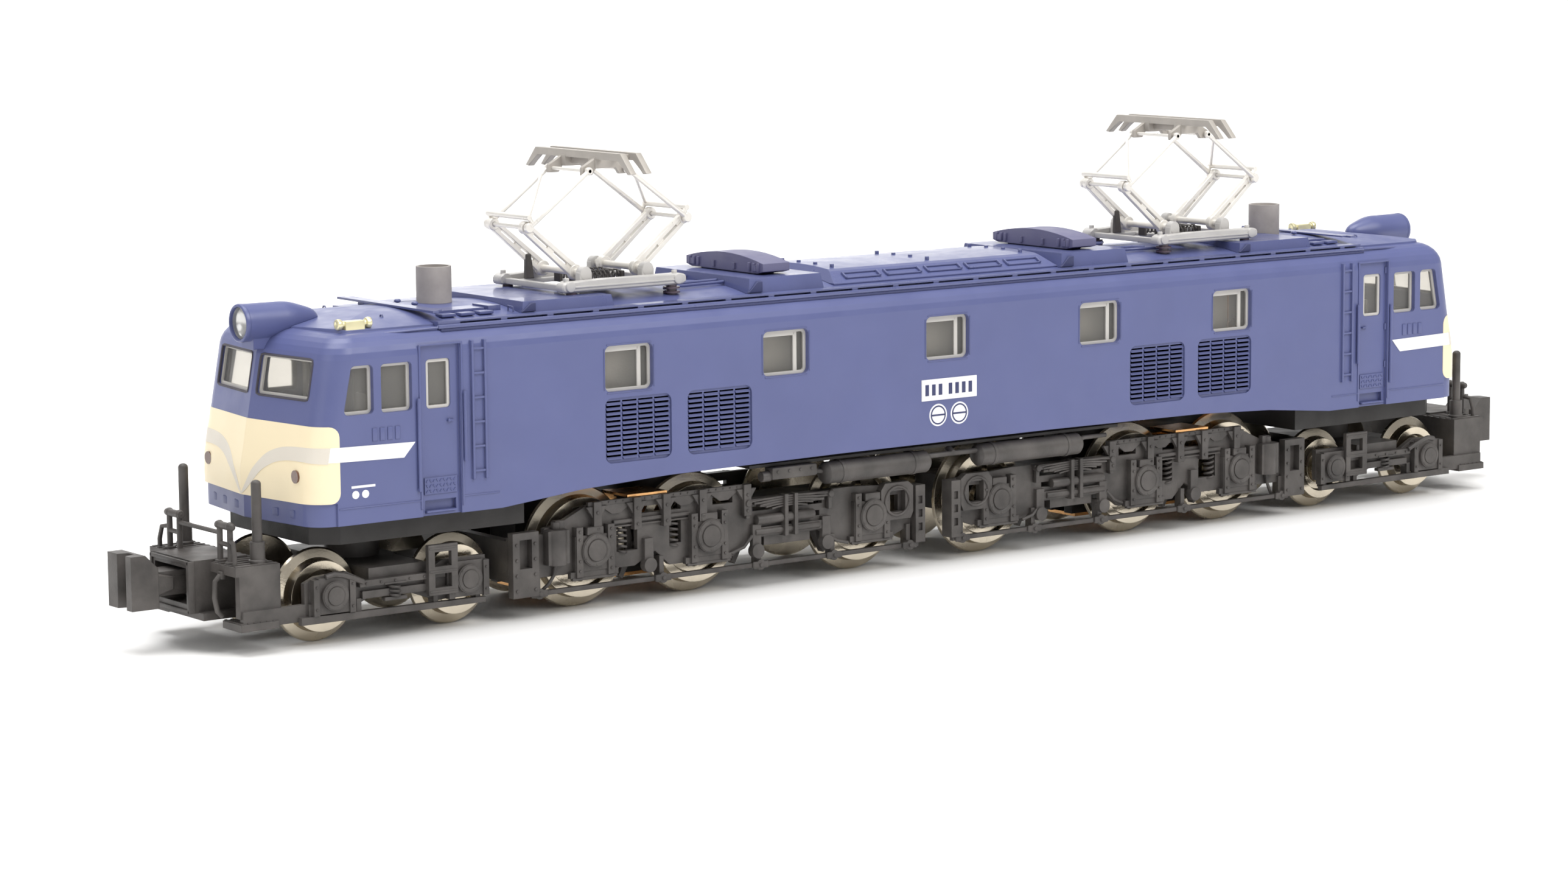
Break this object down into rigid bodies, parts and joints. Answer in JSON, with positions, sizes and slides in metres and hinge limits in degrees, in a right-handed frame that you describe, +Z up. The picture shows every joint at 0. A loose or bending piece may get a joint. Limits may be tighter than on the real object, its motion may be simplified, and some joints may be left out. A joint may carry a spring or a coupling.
{
  "type": "model electric locomotive",
  "caption": "Z-gauge model of a long streamlined electric locomotive with raised diamond pantographs, jointed bogies, geared drive and couplers.",
  "frame": {"origin": "middle of the locomotive between the rails, at the bottom of the wheel flanges (rail tops are at Z = 0.6 mm)", "axes": "+X along the locomotive towards its rear end, +Y to its right side, +Z up"},
  "size_m": [0.1018, 0.013, 0.0252],
  "materials": {
    "body_paint": "semi-matt blue-violet paint with cream end panels on moulded plastic",
    "roof_paint": "semi-matt paint",
    "fuse_blue": "dark blue moulding",
    "stack_grey": "matt grey",
    "brass": "turned, bare",
    "glazing": "smoked clear moulding",
    "frame_grey": "pale grey paint",
    "lamp_red": "dark red, glossy",
    "clear": "clear moulding",
    "zinc": "die-cast, dull",
    "steel": "machined",
    "magnet": "sintered ferrite",
    "armature": "laminations with enamelled copper wire",
    "board": "green circuit board",
    "copper": "spring copper, bare",
    "underframe": "matt dark grey moulding",
    "pantograph": "warm light grey paint",
    "insulator": "dark brown",
    "gear": "natural acetal",
    "wheel": "turned nickel-plated, dull bronze tone"
  },
  "bodies": {
    "body": {"body_shell": "body_paint", "headlight_housings": "body_paint", "roof_monitor": "roof_paint", "roof_walkways": "roof_paint", "fuse_boxes": "fuse_blue", "exhaust_stacks": "stack_grey", "whistles": "brass", "cab_glazing": "glazing", "side_glazing": "glazing", "window_frames": "frame_grey", "tail_lights": "lamp_red", "light_guides": "clear", "chassis_left": "zinc", "chassis_right": "zinc", "chassis_screws": "steel", "motor_case": "steel", "motor_magnets": "magnet", "circuit_board": "board", "pickup_strips": "copper", "underframe": "underframe", "air_tanks": "underframe", "pantograph_bases": "pantograph", "pantograph_insulators": "insulator"},
    "rotor": {"rotor_shaft": "steel", "armature": "armature", "worms_and_flywheels": "brass"},
    "bogie_front": {"bogie_frame_front": "underframe", "bogie_gearbox_front": "underframe", "bogie_pickup_front": "copper"},
    "wheels_front_1": {"driving_wheelset_front_1": "wheel"},
    "wheels_front_2": {"driving_wheelset_front_2": "wheel"},
    "wheels_front_3": {"driving_wheelset_front_3": "wheel"},
    "idler_front": {"idler_gear_front": "gear"},
    "wormwheel_front": {"worm_wheel_front": "gear"},
    "truck_front": {"leading_truck_front": "underframe"},
    "leading_wheels_front_1": {"leading_wheelset_front_1": "wheel"},
    "leading_wheels_front_2": {"leading_wheelset_front_2": "wheel"},
    "coupler_front": {"coupler_front": "underframe"},
    "panto_front_lower_a": {"pantograph_front_lower_a": "pantograph"},
    "panto_front_upper_a": {"pantograph_front_upper_a": "pantograph"},
    "panto_front_lower_b": {"pantograph_front_lower_b": "pantograph"},
    "panto_front_upper_b": {"pantograph_front_upper_b": "pantograph"},
    "panto_front_head": {"pantograph_front_head": "pantograph"},
    "bogie_rear": {"bogie_frame_rear": "underframe", "bogie_gearbox_rear": "underframe", "bogie_pickup_rear": "copper"},
    "wheels_rear_1": {"driving_wheelset_rear_1": "wheel"},
    "wheels_rear_2": {"driving_wheelset_rear_2": "wheel"},
    "wheels_rear_3": {"driving_wheelset_rear_3": "wheel"},
    "idler_rear": {"idler_gear_rear": "gear"},
    "wormwheel_rear": {"worm_wheel_rear": "gear"},
    "truck_rear": {"leading_truck_rear": "underframe"},
    "leading_wheels_rear_1": {"leading_wheelset_rear_1": "wheel"},
    "leading_wheels_rear_2": {"leading_wheelset_rear_2": "wheel"},
    "coupler_rear": {"coupler_rear": "underframe"},
    "panto_rear_lower_a": {"pantograph_rear_lower_a": "pantograph"},
    "panto_rear_upper_a": {"pantograph_rear_upper_a": "pantograph"},
    "panto_rear_lower_b": {"pantograph_rear_lower_b": "pantograph"},
    "panto_rear_upper_b": {"pantograph_rear_upper_b": "pantograph"},
    "panto_rear_head": {"pantograph_rear_head": "pantograph"}
  },
  "joints": [
    {"name": "rotor_spin", "type": "hinge", "parent": "body", "child": "rotor", "pos_m": [0, 0, 0.0093], "axis": [1, 0, 0], "continuous": true},
    {"name": "bogie_front_swivel", "type": "hinge", "parent": "body", "child": "bogie_front", "pos_m": [-0.0165, 0, 0.006], "axis": [0, 0, 1], "range_deg": [-4.5, 4.5]},
    {"name": "axle_front_1", "type": "hinge", "parent": "bogie_front", "child": "wheels_front_1", "pos_m": [-0.0243, 0, 0.00344], "axis": [0, 1, 0], "continuous": true},
    {"name": "axle_front_2", "type": "hinge", "parent": "bogie_front", "child": "wheels_front_2", "pos_m": [-0.0165, 0, 0.00344], "axis": [0, 1, 0], "continuous": true},
    {"name": "axle_front_3", "type": "hinge", "parent": "bogie_front", "child": "wheels_front_3", "pos_m": [-0.0048, 0, 0.00344], "axis": [0, 1, 0], "continuous": true},
    {"name": "idler_front_spin", "type": "hinge", "parent": "bogie_front", "child": "idler_front", "pos_m": [-0.0204, 0, 0.00344], "axis": [0, 1, 0], "continuous": true},
    {"name": "worm_wheel_front_spin", "type": "hinge", "parent": "bogie_front", "child": "wormwheel_front", "pos_m": [-0.0165, 0, 0.00674], "axis": [0, 1, 0], "continuous": true},
    {"name": "truck_front_swivel", "type": "hinge", "parent": "body", "child": "truck_front", "pos_m": [-0.0368, 0, 0.0046], "axis": [0, 0, 1], "range_deg": [-5, 5]},
    {"name": "leading_axle_front_1", "type": "hinge", "parent": "truck_front", "child": "leading_wheels_front_1", "pos_m": [-0.041, 0, 0.00255], "axis": [0, 1, 0], "continuous": true},
    {"name": "leading_axle_front_2", "type": "hinge", "parent": "truck_front", "child": "leading_wheels_front_2", "pos_m": [-0.0326, 0, 0.00255], "axis": [0, 1, 0], "continuous": true},
    {"name": "coupler_front_yaw", "type": "hinge", "parent": "truck_front", "child": "coupler_front", "pos_m": [-0.046, 0, 0.0035], "axis": [0, 0, 1], "range_deg": [-8, 8], "stiffness_Nm_per_rad": 0.00002},
    {"name": "panto_front_raise", "type": "hinge", "parent": "body", "child": "panto_front_lower_a", "pos_m": [-0.023, 0, 0.01855], "axis": [0, 1, 0], "range_deg": [-35.3, 18.7]},
    {"name": "panto_front_lower_b", "type": "hinge", "parent": "body", "child": "panto_front_lower_b", "pos_m": [-0.0188, 0, 0.01855], "axis": [0, 1, 0], "range_deg": [-19.7, 36.3]},
    {"name": "panto_front_knee_a", "type": "hinge", "parent": "panto_front_lower_a", "child": "panto_front_upper_a", "pos_m": [-0.02625, 0, 0.02121], "axis": [0, 1, 0], "range_deg": [-36.75, 68.49]},
    {"name": "panto_front_knee_b", "type": "hinge", "parent": "panto_front_lower_b", "child": "panto_front_upper_b", "pos_m": [-0.01555, 0, 0.02121], "axis": [0, 1, 0], "range_deg": [-68.49, 36.75]},
    {"name": "panto_front_level", "type": "hinge", "parent": "panto_front_upper_a", "child": "panto_front_head", "pos_m": [-0.0222, 0, 0.02414], "axis": [0, 1, 0], "range_deg": [-33.19, 18.05]},
    {"name": "bogie_rear_swivel", "type": "hinge", "parent": "body", "child": "bogie_rear", "pos_m": [0.0165, 0, 0.006], "axis": [0, 0, 1], "range_deg": [-4.5, 4.5]},
    {"name": "axle_rear_1", "type": "hinge", "parent": "bogie_rear", "child": "wheels_rear_1", "pos_m": [0.0243, 0, 0.00344], "axis": [0, 1, 0], "continuous": true},
    {"name": "axle_rear_2", "type": "hinge", "parent": "bogie_rear", "child": "wheels_rear_2", "pos_m": [0.0165, 0, 0.00344], "axis": [0, 1, 0], "continuous": true},
    {"name": "axle_rear_3", "type": "hinge", "parent": "bogie_rear", "child": "wheels_rear_3", "pos_m": [0.0048, 0, 0.00344], "axis": [0, 1, 0], "continuous": true},
    {"name": "idler_rear_spin", "type": "hinge", "parent": "bogie_rear", "child": "idler_rear", "pos_m": [0.0204, 0, 0.00344], "axis": [0, 1, 0], "continuous": true},
    {"name": "worm_wheel_rear_spin", "type": "hinge", "parent": "bogie_rear", "child": "wormwheel_rear", "pos_m": [0.0165, 0, 0.00674], "axis": [0, 1, 0], "continuous": true},
    {"name": "truck_rear_swivel", "type": "hinge", "parent": "body", "child": "truck_rear", "pos_m": [0.0368, 0, 0.0046], "axis": [0, 0, 1], "range_deg": [-5, 5]},
    {"name": "leading_axle_rear_1", "type": "hinge", "parent": "truck_rear", "child": "leading_wheels_rear_1", "pos_m": [0.041, 0, 0.00255], "axis": [0, 1, 0], "continuous": true},
    {"name": "leading_axle_rear_2", "type": "hinge", "parent": "truck_rear", "child": "leading_wheels_rear_2", "pos_m": [0.0326, 0, 0.00255], "axis": [0, 1, 0], "continuous": true},
    {"name": "coupler_rear_yaw", "type": "hinge", "parent": "truck_rear", "child": "coupler_rear", "pos_m": [0.046, 0, 0.0035], "axis": [0, 0, 1], "range_deg": [-8, 8], "stiffness_Nm_per_rad": 0.00002},
    {"name": "panto_rear_raise", "type": "hinge", "parent": "body", "child": "panto_rear_lower_a", "pos_m": [0.021, 0, 0.01855], "axis": [0, 1, 0], "range_deg": [-35.3, 18.7]},
    {"name": "panto_rear_lower_b", "type": "hinge", "parent": "body", "child": "panto_rear_lower_b", "pos_m": [0.0252, 0, 0.01855], "axis": [0, 1, 0], "range_deg": [-19.7, 36.3]},
    {"name": "panto_rear_knee_a", "type": "hinge", "parent": "panto_rear_lower_a", "child": "panto_rear_upper_a", "pos_m": [0.01775, 0, 0.02121], "axis": [0, 1, 0], "range_deg": [-36.75, 68.49]},
    {"name": "panto_rear_knee_b", "type": "hinge", "parent": "panto_rear_lower_b", "child": "panto_rear_upper_b", "pos_m": [0.02845, 0, 0.02121], "axis": [0, 1, 0], "range_deg": [-68.49, 36.75]},
    {"name": "panto_rear_level", "type": "hinge", "parent": "panto_rear_upper_a", "child": "panto_rear_head", "pos_m": [0.0218, 0, 0.02414], "axis": [0, 1, 0], "range_deg": [-33.19, 18.05]}
  ],
  "couplings": [
    {"joint": "axle_front_1", "follows": "rotor_spin", "ratio": 0.055556},
    {"joint": "axle_front_2", "follows": "rotor_spin", "ratio": 0.055556},
    {"joint": "idler_front_spin", "follows": "rotor_spin", "ratio": -0.047619},
    {"joint": "worm_wheel_front_spin", "follows": "rotor_spin", "ratio": -0.066667},
    {"joint": "panto_front_lower_b", "follows": "panto_front_raise", "ratio": -1},
    {"joint": "panto_front_knee_a", "follows": "panto_front_raise", "ratio": -1.912},
    {"joint": "panto_front_knee_b", "follows": "panto_front_raise", "ratio": 1.912},
    {"joint": "panto_front_level", "follows": "panto_front_raise", "ratio": 0.912},
    {"joint": "axle_rear_1", "follows": "rotor_spin", "ratio": 0.055556},
    {"joint": "axle_rear_2", "follows": "rotor_spin", "ratio": 0.055556},
    {"joint": "idler_rear_spin", "follows": "rotor_spin", "ratio": -0.047619},
    {"joint": "worm_wheel_rear_spin", "follows": "rotor_spin", "ratio": -0.066667},
    {"joint": "panto_rear_lower_b", "follows": "panto_rear_raise", "ratio": -1},
    {"joint": "panto_rear_knee_a", "follows": "panto_rear_raise", "ratio": -1.912},
    {"joint": "panto_rear_knee_b", "follows": "panto_rear_raise", "ratio": 1.912},
    {"joint": "panto_rear_level", "follows": "panto_rear_raise", "ratio": 0.912}
  ]
}
